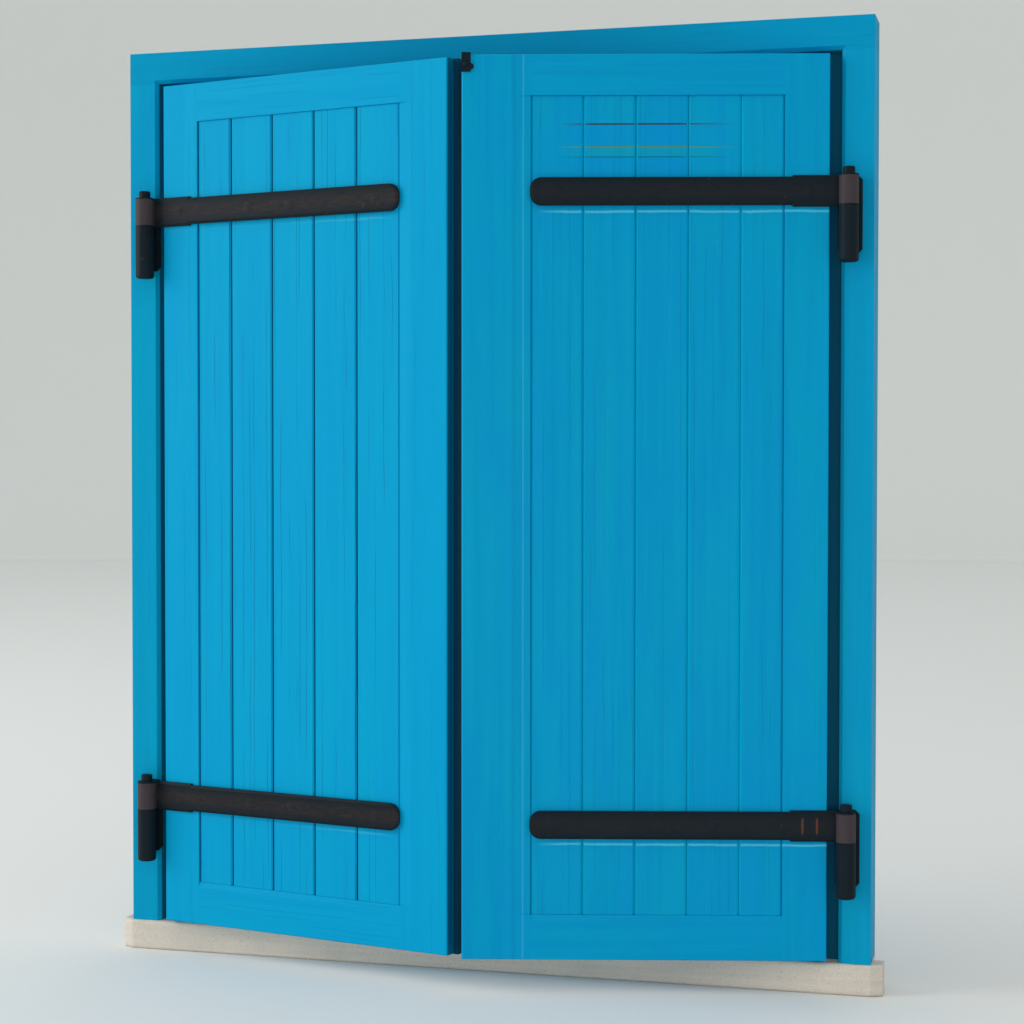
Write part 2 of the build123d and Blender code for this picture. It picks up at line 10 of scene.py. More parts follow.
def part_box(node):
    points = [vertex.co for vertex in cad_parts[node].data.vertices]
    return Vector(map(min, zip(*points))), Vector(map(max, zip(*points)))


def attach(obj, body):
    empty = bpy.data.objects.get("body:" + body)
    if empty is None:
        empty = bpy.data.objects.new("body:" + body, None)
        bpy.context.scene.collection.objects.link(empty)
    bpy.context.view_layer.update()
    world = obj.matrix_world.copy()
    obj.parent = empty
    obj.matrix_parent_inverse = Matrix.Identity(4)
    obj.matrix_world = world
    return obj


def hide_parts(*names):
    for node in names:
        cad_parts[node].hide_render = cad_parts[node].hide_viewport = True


bl_info = {
    "name": "Boarded window shutters",
    "version": (1, 0, 0),
    "blender": (4, 5, 0),
    "location": "3D View > Sidebar > Shutters",
    "description": "Dresses boarded shutters in brushed paint, blackened iron, zinc fixings and cut stone",
    "category": "Object",
}

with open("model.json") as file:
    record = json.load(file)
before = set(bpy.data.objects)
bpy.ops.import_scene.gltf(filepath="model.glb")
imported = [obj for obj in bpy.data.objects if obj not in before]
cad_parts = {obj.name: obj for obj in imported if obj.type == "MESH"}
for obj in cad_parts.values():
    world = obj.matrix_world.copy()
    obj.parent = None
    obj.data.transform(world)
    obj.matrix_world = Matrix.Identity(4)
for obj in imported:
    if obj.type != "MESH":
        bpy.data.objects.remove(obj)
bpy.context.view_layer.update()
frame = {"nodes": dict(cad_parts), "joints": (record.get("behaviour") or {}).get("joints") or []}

# The side each leaf hangs on, and its hinge with the pin and the angle it rests at
SIDES = {"left": -1, "right": 1}
HINGES = {joint["name"].split("_")[0]: joint for joint in frame["joints"] if joint["type"] == "hinge"}

# Sizes shared with the solids, in metres
PIVOT_OFFSET = 0.023
EYE_RADIUS = 0.01308
LEAF_THICKNESS = 0.028
LEAF_WIDTHS = {"left": 0.466, "right": 0.483}
JAMB_FACE = 0.487
HEAD_FACE = 1.248
STRAP_THICKNESS = 0.005
WASHER_THICKNESS = 0.0016
BOLT_PLACES = (0.0295, 0.1505, 0.2195, 0.3575)
BOARD_MIDDLES = (0.0875, 0.1505, 0.2195, 0.2885, 0.3575)
BOARD_PITCH = 0.069
LAST_JOINT = 0.392
SCREW_RISE = 0.028
SLIDE_CENTRE = 0.432
SLIDE_PLATE_WIDTH = 0.036
SLIDE_PLATE_THICKNESS = 0.003
SLIDE_SCREW_INSET = 0.006
STRAP_SPACING = 0.835
STUD_RISES = (-0.062, 0.002)

# Where marks lie, in metres: the painted highlight under a strap's middle, the painted shade and the
# painted highlight on the right meeting stile from the hinge edge, and two runs of rust from the frame's
# middle
HIGHLIGHT_DROP = 0.0245
DARK_LINE = 0.414
PALE_LINE = 0.402
RUST_RUNS = (0.4427, 0.4612)

# Bands and lines rubbed across the boards above the right leaf's top strap:
# level, half height and softness in metres, strength, colour
RUBBED_LINES = (
    (1.135, 0.013, 0.003, 0.4, "#008FDC"),
    (1.1135, 0.005, 0.003, 0.4, "#109FB4"),
    (1.094, 0.011, 0.003, 0.35, "#008FDC"),
    (1.150, 0.0007, 0.0007, 0.9, "#35281F"),
    (1.120, 0.0006, 0.0007, 0.9, "#5C8A26"),
    (1.107, 0.0005, 0.0006, 0.6, "#045870"),
)

# How the fixings are drawn: the shank is thinner than the thread rolled on its tail, the dome stops
# short of a quarter circle, and the corners of a nut are turned off at thirty degrees
SHANK_RELIEF = 0.0003
DOME_TURN = 0.48 * pi
THREAD_TURNS = 9.0
TOOTH_SHARE = 0.34
CROWN_SHARE = 0.49
NUT_CHAMFER = radians(30)
SCREW_TIP = 0.0004

# How the sill is worn: points this close are one point, and below this height it stays flat
WELD_DISTANCE = 0.00002
SEAT_HEIGHT = 0.002

# The bowl of paper, in metres: a flat middle, a curve of a quarter circle and a straight rim
BOWL_FLAT = 12
BOWL_CURVE = 4
BOWL_HEIGHT = 8
BOWL_SIDES = 64
CURVE_STEPS = 12

# The soft lamps: size in metres, spread in degrees, place, and the point each one is aimed at
LAMPS = {
    "key": (5.0, 180, Vector((-7.15, -2.6, 3.12)), Vector((0, 0, 0.65))),
    "low": (1.0, 120, Vector((0.9, -3.6, 0.3)), Vector((0.2, 0, 0.05))),
}


def linear(colour):
    """Turns an sRGB hex colour into the linear red, green and blue that Blender works in."""
    parts = [int(colour[i : i + 2], 16) / 255 for i in (1, 3, 5)]
    return tuple(p / 12.92 if p <= 0.04045 else ((p + 0.055) / 1.055) ** 2.4 for p in parts)


def colour_property(name, description, colour):
    return bpy.props.FloatVectorProperty(
        name=name, description=description, subtype="COLOR", size=3, min=0, max=1, default=linear(colour)
    )


def length_property(name, description, millimetres):
    return bpy.props.FloatProperty(
        name=name, description=description, unit="LENGTH", min=0, default=millimetres / 1000
    )


class ShutterPaint(bpy.types.PropertyGroup):
    leaf: colour_property("Leaf coat", "Top coat of the two leaves", "#00A0CE")
    jamb: colour_property("Jamb coat", "Top coat of the jambs", "#029FC8")
    # painted shade: the head coat is darker than the leaves' coat, standing in for less light on the head
    head: colour_property("Head coat", "Top coat of the head, older than the rest", "#009AC3")
    joint: colour_property("Joint dirt", "Dust held in the joints between the boards", "#07244A")
    crack: colour_property("Hairline cracks", "Open grain seen through the paint", "#0A6492")
    # painted highlight: pale lines under the straps and on the right meeting stile
    pale_highlight: colour_property("Paint ridge", "Thick edge left where the brush was cut in", "#4FC3E8")
    # painted shade in the gaps, the rebates and along the edges of the leaves
    gap_shade: colour_property("Grime", "Rebates and edges that rain doesn't wash", "#06283A")


class ShutterIron(bpy.types.PropertyGroup):
    black: colour_property("Black", "Paint on the forged iron", "#0A1B24")
    brown: colour_property("Brown", "Where the black has faded over rust", "#2F2828")
    rubbed: colour_property("Rubbed iron", "Hinge eyes, rubbed bare where they turn", "#4A4144")
    rust: colour_property("Rust", "Specks and runs of bare rust", "#6E412B")
    zinc: colour_property("Zinc", "Nuts, washers and ledge screws", "#8E8F8D")


class ShutterStone(bpy.types.PropertyGroup):
    pale: colour_property("Pale stone", "Main colour of the sill", "#EBDFD0")
    grey: colour_property("Grey stone", "Greyer beds in the sill", "#D9D1C5")
    dark: colour_property("Pits", "Dirt in the pits of the stone", "#7D766B")
    chipping: length_property("Chipping", "How far the dressed faces wander", 0.5)
    grain: length_property("Grain", "Size of the mesh cells that carry the chipping", 2.6)


class ShutterFixings(bpy.types.PropertyGroup):
    head_radius: length_property("Bolt head radius", "Low domed head of the coach bolts", 8)
    head_height: length_property("Bolt head height", "Height of the dome", 0.5)
    bolt_radius: length_property("Bolt radius", "Shank of the coach bolts", 4)
    bolt_length: length_property("Bolt length", "From under the head to the tail", 43.5)
    thread_pitch: length_property("Thread pitch", "Distance between the turns of the thread", 1.25)
    nut_flats: length_property("Nut across flats", "Coach bolt nuts", 13)
    nut_height: length_property("Nut height", "Coach bolt nuts", 6.5)
    stud_nut_flats: length_property("Stud nut across flats", "Nuts behind the pintles", 17)
    stud_nut_height: length_property("Stud nut height", "Nuts behind the pintles", 8)
    stud_nut_bore: length_property("Stud nut bore", "Radius of the hole in the stud nuts", 5.05)
    screw_head: length_property("Screw head radius", "Countersunk wood screws", 4)
    screw_shank: length_property("Screw shank radius", "Countersunk wood screws", 2)
    slot_width: length_property("Slot width", "Driver slot of the screws", 1.1)
    ledge_screw_length: length_property("Ledge screw length", "Screws from the ledges into the boards", 21)
    plate_screw_length: length_property("Plate screw length", "Screws of the sliding bolts", 11)


class ShutterStage(bpy.types.PropertyGroup):
    floor: colour_property("Floor", "Pale paper all round", "#EDF0EE")
    key_power: bpy.props.FloatProperty(
        name="Key light", description="Power of the large soft light at the left", unit="POWER",
        min=0, default=330
    )
    low_power: bpy.props.FloatProperty(
        name="Low light", description="Power of the small soft light that reaches the sill", unit="POWER",
        min=0, default=8
    )
    sky: bpy.props.FloatProperty(
        name="Room light", description="Strength of the light from all round", min=0, default=0.7
    )
    lens: bpy.props.FloatProperty(name="Lens", description="Focal length", unit="CAMERA", default=72.84)
    place: bpy.props.FloatVectorProperty(
        name="Camera", description="Where the camera stands", subtype="TRANSLATION",
        default=(0.77782, -2.75117, 0.70801)
    )
    turn: bpy.props.FloatVectorProperty(
        name="Turn", description="Pitch, roll and yaw of the camera from level and straight ahead",
        subtype="EULER", default=(-0.02473, 0.00079, 0.2623)
    )


class ShutterSettings(bpy.types.PropertyGroup):
    paint: bpy.props.PointerProperty(type=ShutterPaint, name="Paint", description="Painted pine")
    iron: bpy.props.PointerProperty(type=ShutterIron, name="Iron", description="Hinges and fixings")
    stone: bpy.props.PointerProperty(type=ShutterStone, name="Stone", description="Sill")
    fixings: bpy.props.PointerProperty(type=ShutterFixings, name="Fixings", description="Bolts and screws")
    stage: bpy.props.PointerProperty(type=ShutterStage, name="Stage", description="Floor, lights, camera")


def leaf_angle(name):
    """How far a leaf stands open, in radians."""
    return radians(-HINGES[name]["range_deg"][0])


def leaf_axes(name):
    """Directions across a leaf from its hinge edge, and back through its thickness."""
    side, turn = SIDES[name], leaf_angle(name)
    across = Vector((-side * cos(turn), -sin(turn), 0))
    back = Vector((-side * sin(turn), cos(turn), 0))
    return across, back


def leaf_point(name, u, v, z):
    """A point u from a leaf's hinge edge and v behind its front face, at height z."""
    across, back = leaf_axes(name)
    pivot = Vector(HINGES[name]["pos_m"])
    point = pivot + across * (PIVOT_OFFSET + u) + back * (EYE_RADIUS + v)
    point.z = z
    return point


def strap_levels(name):
    """Heights of the middle lines of a leaf's top and bottom strap."""
    return [sum(corner.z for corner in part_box(f"{name}_strap_{end}")) / 2 for end in ("top", "bottom")]


def put(tree, kind, sockets=(), give=0, **settings):
    """Adds a node with its settings, feeds its sockets with values or outputs, and gives an output."""
    node = tree.nodes.new(kind)
    for key, value in settings.items():
        setattr(node, key, value)
    for key, value in sockets.items() if isinstance(sockets, dict) else enumerate(sockets):
        if isinstance(value, bpy.types.NodeSocket):
            tree.links.new(value, node.inputs[key])
        else:
            node.inputs[key].default_value = value
    return node if give is None else node.outputs[give]


def new_material(name):
    """An empty material and the object coordinates of its piece."""
    material = bpy.data.materials.new(name)
    material.use_nodes = True
    tree = material.node_tree
    tree.nodes.clear()
    return material, tree, put(tree, "ShaderNodeTexCoord", give="Object")


def finish_material(tree, layers, look):
    """Lays colours over one another by their masks, then adds the shader with its other values."""
    colour = (*layers[0], 1)
    for mask, tone in layers[1:]:
        colour = put(tree, "ShaderNodeMix", {0: mask, 6: colour, 7: (*tone, 1)}, give=2, data_type="RGBA")
    shader = put(tree, "ShaderNodeBsdfPrincipled", {"Base Color": colour, **look})
    put(tree, "ShaderNodeOutputMaterial", [shader], give=None)


def toned(colour, red, green, blue):
    """A colour made weaker or stronger in each of its parts."""
    return tuple(min(part * by, 1) for part, by in zip(colour, (red, green, blue)))


def marks(tree, place, seed, across, along, detail=2.0):
    """Noise drawn out with the grain: marks about so many mm across it and along it."""
    spread = put(tree, "ShaderNodeMapping",
                 {"Vector": place, "Scale": (1000 / across, 1000 / across, 1000 / along)})
    return put(tree, "ShaderNodeTexNoise", {"Vector": spread, "W": seed, "Scale": 1.0, "Detail": detail},
               noise_dimensions="4D")


def hairlines(tree, place, seed, spacing, width, length):
    """Fine broken cracks with the grain: one in each strip of the spacing, all in mm."""
    axes = put(tree, "ShaderNodeSeparateXYZ", [place], give=None).outputs
    sway = marks(tree, place, seed, 300, 110)
    swayed = put(tree, "ShaderNodeMath", [sway, 0.006, axes["X"]], operation="MULTIPLY_ADD")
    share = put(tree, "ShaderNodeMath", [swayed, 1000 / spacing], operation="MULTIPLY")
    strip = put(tree, "ShaderNodeMath", [share], operation="FLOOR")
    seeded = put(tree, "ShaderNodeCombineXYZ", [strip, seed, 0.5])
    spot = put(tree, "ShaderNodeTexWhiteNoise", [seeded], noise_dimensions="3D")
    centre = put(tree, "ShaderNodeMath", [spot, 0.7, 0.15], operation="MULTIPLY_ADD")
    part = put(tree, "ShaderNodeMath", [share], operation="FRACT")
    away = put(tree, "ShaderNodeMath", [part, centre], operation="SUBTRACT")
    off = put(tree, "ShaderNodeMath", [away], operation="ABSOLUTE")
    line = put(tree, "ShaderNodeMapRange", [off, 0.25 * width / spacing, 0.75 * width / spacing, 1.0, 0.0])
    rise = put(tree, "ShaderNodeMath", [axes["Z"], 1000 / length], operation="MULTIPLY")
    lane = put(tree, "ShaderNodeMath", [strip, 3.1, seed], operation="MULTIPLY_ADD")
    run = put(tree, "ShaderNodeTexNoise",
              {"Vector": put(tree, "ShaderNodeCombineXYZ", [lane, rise, 0.5]), "Scale": 1.0, "Detail": 3.0})
    there = put(tree, "ShaderNodeMapRange", [run, 0.5, 0.6, 0.0, 1.0])
    return put(tree, "ShaderNodeMath", [line, there], operation="MULTIPLY")


def soft_line(tree, value, level, reach, soft, strength):
    """A mask of full strength within the reach of a level, fading out over the softness beyond it."""
    off = put(tree, "ShaderNodeMath", [value, level], operation="SUBTRACT")
    off = put(tree, "ShaderNodeMath", [off], operation="ABSOLUTE")
    return put(tree, "ShaderNodeMapRange", [off, reach, reach + soft, strength, 0.0])


def strap_offset(tree, z, level):
    """How far a height lies from a level on the bottom strap, or from the same one on the top strap."""
    rise = put(tree, "ShaderNodeMath", [z, level], operation="SUBTRACT")
    return put(tree, "ShaderNodeMath", [rise, STRAP_SPACING / 2, -STRAP_SPACING / 2], operation="WRAP")


def stile_lines(tree, paint, coat, across, face):
    """Layers on the right meeting stile, top to bottom: soft painted shade and a fine painted highlight."""
    dark = soft_line(tree, across, DARK_LINE, 0.001, 0.003, 0.45)
    pale = soft_line(tree, across, PALE_LINE, 0.0006, 0.0008, 0.3)
    return [
        (put(tree, "ShaderNodeMath", [dark, face], operation="MULTIPLY"), toned(coat, 1, 0.72, 0.8)),
        (put(tree, "ShaderNodeMath", [pale, face], operation="MULTIPLY"), paint.pale_highlight),
    ]


def rubbed_lines(tree, across, z, face):
    """Layers of the bands and lines rubbed across the boards of the right leaf."""
    near = put(tree, "ShaderNodeMapRange", [across, 0.31, 0.36, 1.0, 0.0])
    ends = put(tree, "ShaderNodeMapRange", [across, 0.12, 0.2, 0.0, 1.0])
    rubbed = put(tree, "ShaderNodeMath", [near, ends], operation="MULTIPLY")
    rubbed = put(tree, "ShaderNodeMath", [rubbed, face], operation="MULTIPLY")
    layers = []
    for level, reach, soft, strength, tone in RUBBED_LINES:
        line = soft_line(tree, z, level, reach, soft, strength)
        layers.append((put(tree, "ShaderNodeMath", [line, rubbed], operation="MULTIPLY"), linear(tone)))
    return layers


def edge_shade(tree, paint, leaf, across):
    """Layers of painted shade on a leaf: along its meeting edge, on the lap beyond it and at the hinge
    edge.
    """
    width = LEAF_WIDTHS[leaf]
    edges = (
        (width - 0.0004, width, 0.0, 0.6),
        (width + 0.001, width + 0.002, 0.0, 0.8),
        (0.0001, 0.0006, 0.6, 0.0),
    )
    return [(put(tree, "ShaderNodeMapRange", [across, *edge]), paint.gap_shade) for edge in edges]


def strap_highlight(tree, paint, leaf, grain, across, z, face):
    """Layer of a painted highlight: a pale wavy line under each strap."""
    rise = strap_offset(tree, z, strap_levels(leaf)[1] - HIGHLIGHT_DROP)
    wave = marks(tree, grain, 0.5, 30, 9)
    rise = put(tree, "ShaderNodeMath", [wave, 0.003, rise], operation="MULTIPLY_ADD")
    rise = put(tree, "ShaderNodeMath", [rise], operation="ABSOLUTE")
    strength = 0.95 if leaf == "right" else 0.3
    pale_highlight = put(tree, "ShaderNodeMapRange", [rise, 0.0007, 0.0021, strength, 0.0])
    limits = [face, put(tree, "ShaderNodeMapRange", [across, 0.35, 0.385, 1.0, 0.0])]
    if leaf == "left":
        limits.append(put(tree, "ShaderNodeMapRange", [across, 0.2, 0.33, 0.15, 1.0]))
    for limit in limits:
        pale_highlight = put(tree, "ShaderNodeMath", [pale_highlight, limit], operation="MULTIPLY")
    return [(pale_highlight, paint.pale_highlight)]


def board_joints(tree, paint, coat, leaf, across, y):
    """Layers in the joints between the boards: dust on the left leaf; on the right, painted light that
    lifts the shade of the grooves, most near the hinge edge.
    """
    front = put(tree, "ShaderNodeMath", [y, LEAF_THICKNESS / 2], operation="LESS_THAN")
    if leaf == "left":
        deep = put(tree, "ShaderNodeMapRange", [y, 0.0036, 0.0044, 0.0, 0.95])
        return [(put(tree, "ShaderNodeMath", [deep, front], operation="MULTIPLY"), paint.joint)]
    # painted light: the right leaf's grooves are paler so their shade hardly shows
    full = put(tree, "ShaderNodeMapRange", [y, 0.0021, 0.0032, 0.0, 0.9])
    full = put(tree, "ShaderNodeMath", [full, front], operation="MULTIPLY")
    most = put(tree, "ShaderNodeMapRange", [across, 0.15, 0.22, 0.3, 0.0])
    most = put(tree, "ShaderNodeMath", [full, most], operation="MULTIPLY")
    return [(full, toned(coat, 1, 1.2, 1.12)), (most, toned(coat, 1, 1.75, 1.45))]


def painted_pine(name, paint, coat, lying=False, leaf=None, boards=False, checks=0.6, bands=0.6, edge=None):
    """Alkyd paint brushed on planed pine and weathered to satin: one even blue with long soft brush
    bands, fine broken hairlines where the wood has moved, and painted shade in the gaps and rebates."""
    material, tree, place = new_material(name)
    side = SIDES.get(leaf, 0)
    if leaf:
        # measured on the leaf: X across it from the hinge edge, Y back through it
        place = put(tree, "ShaderNodeMapping", {
            "Vector": place, "Location": leaf_point(leaf, 0, 0, 0),
            "Rotation": (0, 0, side * leaf_angle(leaf))}, vector_type="TEXTURE")
    x, y, z = put(tree, "ShaderNodeSeparateXYZ", [place], give=None).outputs
    grain = put(tree, "ShaderNodeCombineXYZ", [z, y, x]) if lying else place
    across = put(tree, "ShaderNodeMath", [x], operation="ABSOLUTE")
    seed = 1.7 + side + 0.3 * lying
    if boards:
        # each board is cut from its own plank, so the marks change at every joint
        plank = put(tree, "ShaderNodeMath", [across, LAST_JOINT], operation="SUBTRACT")
        plank = put(tree, "ShaderNodeMath", [plank, BOARD_PITCH], operation="DIVIDE")
        plank = put(tree, "ShaderNodeMath", [plank], operation="FLOOR")
        seed = put(tree, "ShaderNodeMath", [plank, 3.7, seed], operation="MULTIPLY_ADD")

    broad = marks(tree, grain, seed, 16, 480)
    cloud = marks(tree, grain, seed, 90, 300)
    streak = marks(tree, grain, seed, 5, 260, 3.0)
    bristle = marks(tree, grain, seed, 1.6, 120)
    crack = hairlines(tree, grain, seed, 9 if lying else 11, 0.8, 170 if lying else 320)
    # the boards move most, so they crack most
    open_crack = put(tree, "ShaderNodeMath", [crack, checks * (1 if boards else 0.4)], operation="MULTIPLY")
    layers = [
        coat,
        (put(tree, "ShaderNodeMapRange", [cloud, 0.4, 0.62, 0.0, bands]), toned(coat, 1, 0.88, 1.04)),
        (put(tree, "ShaderNodeMapRange", [broad, 0.46, 0.58, 0.0, bands]), toned(coat, 1, 0.9, 0.98)),
        (put(tree, "ShaderNodeMapRange", [streak, 0.55, 0.75, 0.0, bands]), toned(coat, 1, 1.08, 1.03)),
        (open_crack, paint.crack),
    ]
    if leaf:
        # some marks lie on the front face only
        face = put(tree, "ShaderNodeMapRange", [y, 0.004, 0.005, 1.0, 0.0])
    if leaf == "right":
        patch = marks(tree, grain, seed, 45, 170, 1.0)
        pale = put(tree, "ShaderNodeMapRange", [patch, 0.5, 0.6, 0.0, 0.3])
        dull = put(tree, "ShaderNodeMapRange", [patch, 0.44, 0.36, 0.0, 0.25])
        layers += [(pale, toned(coat, 1, 0.92, 1.08)), (dull, toned(coat, 1, 1.03, 0.96))]
        if not lying:
            layers += stile_lines(tree, paint, coat, across, face)
        if boards:
            layers += rubbed_lines(tree, across, z, face)
    if leaf:
        layers += edge_shade(tree, paint, leaf, across)
    elif lying:
        # painted shade: the head is darkest in its middle
        middle = put(tree, "ShaderNodeMapRange", [across, 0.12, 0.42, 0.75, 0.0])
        layers.append((middle, toned(coat, 1, 0.76, 0.82)))
    if edge:
        # painted shade in the rebate inside this edge, less of it toward the back
        inner = put(tree, "ShaderNodeMapRange",
                    [z if lying else across, edge - 0.0002, edge + 0.0004, 0.72, 0.0])
        front = put(tree, "ShaderNodeMapRange", [y, 0.024, 0.05, 1.0, 0.15])
        layers.append((put(tree, "ShaderNodeMath", [inner, front], operation="MULTIPLY"), paint.gap_shade))
    if leaf and not lying:
        layers += strap_highlight(tree, paint, leaf, grain, across, z, face)
    if boards:
        layers += board_joints(tree, paint, coat, leaf, across, y)
    height = put(tree, "ShaderNodeMath", [bristle, 0.35, streak], operation="MULTIPLY_ADD")
    height = put(tree, "ShaderNodeMath", [crack, -0.8, height], operation="MULTIPLY_ADD")
    look = {
        "Roughness": put(tree, "ShaderNodeMapRange", [broad, 0.3, 0.7, 0.45, 0.58]),
        "Specular IOR Level": 0.05,
        "Normal": put(tree, "ShaderNodeBump", {"Height": height, "Strength": 0.3, "Distance": 0.0006}),
    }
    finish_material(tree, layers, look)
    return material


def blackened_iron(name, iron):
    """Wrought iron, hammered flat and painted black: faint dents about 14 mm apart, brown streaks along
    the middle of the straps where weather has thinned the paint, bare eyes and specks of rust."""
    material, tree, place = new_material(name)
    x, y, z = put(tree, "ShaderNodeSeparateXYZ", [place], give=None).outputs
    patches = put(tree, "ShaderNodeTexNoise", {"Vector": place, "Scale": 1000 / 60, "Detail": 3.0})
    dents = put(tree, "ShaderNodeTexVoronoi", {"Vector": place, "Scale": 1000 / 14, "Smoothness": 0.9},
                feature="SMOOTH_F1")
    grit = put(tree, "ShaderNodeTexNoise", {"Vector": place, "Scale": 1000 / 1.2, "Detail": 2.0})
    specks = put(tree, "ShaderNodeTexNoise", {"Vector": place, "Scale": 1000 / 6, "Detail": 5.0})
    # streaks 2.5 mm high and 120 mm long, strongest along the middle line of each strap
    turned = put(tree, "ShaderNodeCombineXYZ", [z, y, x])
    streaks = marks(tree, turned, 0.0, 2.5, 120, 3.0)
    level = strap_levels("left")[1]
    rise = put(tree, "ShaderNodeMath", [strap_offset(tree, z, level)], operation="ABSOLUTE")
    middle = put(tree, "ShaderNodeMapRange", [rise, 0.005, 0.014, 1.0, 0.05])
    worn = put(tree, "ShaderNodeMapRange", [streaks, 0.35, 0.62, 0.2, 0.9])
    worn = put(tree, "ShaderNodeMath", [worn, middle], operation="MULTIPLY")
    # the left leaf's straps face the weather and have lost more of their black
    share = put(tree, "ShaderNodeMapRange", [x, -0.05, 0.05, 1.0, 0.4])
    worn = put(tree, "ShaderNodeMath", [worn, share], operation="MULTIPLY")
    # the rolled eyes lie within 14 mm of each hinge pin, at the height of their straps
    pin = HINGES["right"]["pos_m"]
    aside = put(tree, "ShaderNodeMath", [x], operation="ABSOLUTE")
    aside = put(tree, "ShaderNodeCombineXYZ", [aside, y, 0.0])
    aside = put(tree, "ShaderNodeVectorMath", [aside, (pin[0], pin[1], 0)], give="Value",
                operation="DISTANCE")
    eye = put(tree, "ShaderNodeMapRange", [aside, 0.0138, 0.0148, 1.0, 0.0])
    beside = put(tree, "ShaderNodeMapRange", [rise, 0.0183, 0.0187, 0.75, 0.0])
    eye = put(tree, "ShaderNodeMath", [eye, beside], operation="MULTIPLY")
    # two runs of rust beside the root bolt of the strap that stays wet longest, low on the right
    wet = soft_line(tree, z, level, 0.008, 0.004, 0.8)
    runs = []
    for middle_x in RUST_RUNS:
        run = soft_line(tree, x, middle_x, 0.0008, 0.001, 1.0)
        runs.append((put(tree, "ShaderNodeMath", [run, wet], operation="MULTIPLY"), iron.rust))
    layers = [
        iron.black,
        (put(tree, "ShaderNodeMapRange", [patches, 0.5, 0.75, 0.0, 0.12]), iron.brown),
        (worn, iron.brown),
        (eye, iron.rubbed),
        (put(tree, "ShaderNodeMapRange", [specks, 0.68, 0.78, 0.0, 0.5]), iron.rust),
        *runs,
    ]
    height = put(tree, "ShaderNodeMath", [grit, 0.12, dents], operation="MULTIPLY_ADD")
    look = {
        "Roughness": put(tree, "ShaderNodeMapRange", [grit, 0.3, 0.7, 0.42, 0.6]),
        "Specular IOR Level": 0.12,
        "Normal": put(tree, "ShaderNodeBump", {"Height": height, "Strength": 0.22, "Distance": 0.001}),
    }
    finish_material(tree, layers, look)
    return material


def zinc_steel(name, iron):
    """Zinc-plated mild steel gone dull outdoors: an even grey with a faint crystal pattern."""
    material, tree, place = new_material(name)
    spangle = put(tree, "ShaderNodeTexVoronoi", {"Vector": place, "Scale": 1000 / 2.5})
    look = {
        "Metallic": 1.0,
        "Roughness": put(tree, "ShaderNodeMapRange", [spangle, 0.0, 0.8, 0.38, 0.6]),
    }
    finish_material(tree, [iron.zinc, (spangle, toned(iron.zinc, 0.62, 0.62, 0.64))], look)
    return material


def cut_stone(name, stone):
    """Sawn limestone left unpolished: pale beige beds, small open pits and a gritty face."""
    material, tree, place = new_material(name)
    beds = put(tree, "ShaderNodeMapping", {"Vector": place, "Scale": (1000 / 260, 1000 / 60, 1000 / 7)})
    beds = put(tree, "ShaderNodeTexNoise", {"Vector": beds, "Scale": 1.0, "Detail": 5.0})
    cloud = put(tree, "ShaderNodeTexNoise", {"Vector": place, "Scale": 1000 / 180, "Detail": 3.0})
    pits = put(tree, "ShaderNodeTexVoronoi", {"Vector": place, "Scale": 1000 / 5})
    grit = put(tree, "ShaderNodeTexNoise", {"Vector": place, "Scale": 1000 / 1.6, "Detail": 3.0})
    tone = put(tree, "ShaderNodeMath", [beds, 0.8, cloud], operation="MULTIPLY_ADD")
    hollow = put(tree, "ShaderNodeMapRange", [pits, 0.06, 0.2, 0.5, 0.0])
    layers = [
        stone.pale,
        (put(tree, "ShaderNodeMapRange", [tone, 0.7, 1.1, 0.0, 1.0]), stone.grey),
        (hollow, stone.dark),
        (put(tree, "ShaderNodeMapRange", [grit, 0.3, 0.7, 0.25, 0.0]), stone.dark),
    ]
    height = put(tree, "ShaderNodeMath", [hollow, -1.2, grit], operation="MULTIPLY_ADD")
    look = {
        "Roughness": 0.92,
        "Specular IOR Level": 0.2,
        "Normal": put(tree, "ShaderNodeBump", {"Height": height, "Strength": 0.45, "Distance": 0.0009}),
    }
    finish_material(tree, layers, look)
    return material


def matt_paper(name, colour):
    """Matt background paper: an even pale tone with a faint fibre."""
    material, tree, place = new_material(name)
    fibre = put(tree, "ShaderNodeTexNoise", {"Vector": place, "Scale": 1000 / 3, "Detail": 2.0})
    soft = put(tree, "ShaderNodeMapRange", [fibre, 0.3, 0.7, 0.0, 1.0])
    finish_material(tree, [colour, (soft, toned(colour, 0.97, 0.97, 0.97))],
                    {"Roughness": 0.95, "Specular IOR Level": 0.1})
    return material


def paint_nodes(material, *nodes):
    """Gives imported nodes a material."""
    for node in nodes:
        mesh = frame["nodes"][node].data
        mesh.materials.clear()
        mesh.materials.append(material)


def new_tree(name, inputs):
    """A geometry tree with named inputs, its group input and its output."""
    tree = bpy.data.node_groups.new(name, "GeometryNodeTree")
    tree.interface.new_socket("Geometry", in_out="INPUT", socket_type="NodeSocketGeometry")
    tree.interface.new_socket("Geometry", in_out="OUTPUT", socket_type="NodeSocketGeometry")
    for label, kind in inputs:
        tree.interface.new_socket(label, in_out="INPUT", socket_type=f"NodeSocket{kind}")
    return tree, put(tree, "NodeGroupInput", give=None).outputs, put(tree, "NodeGroupOutput", give=None)


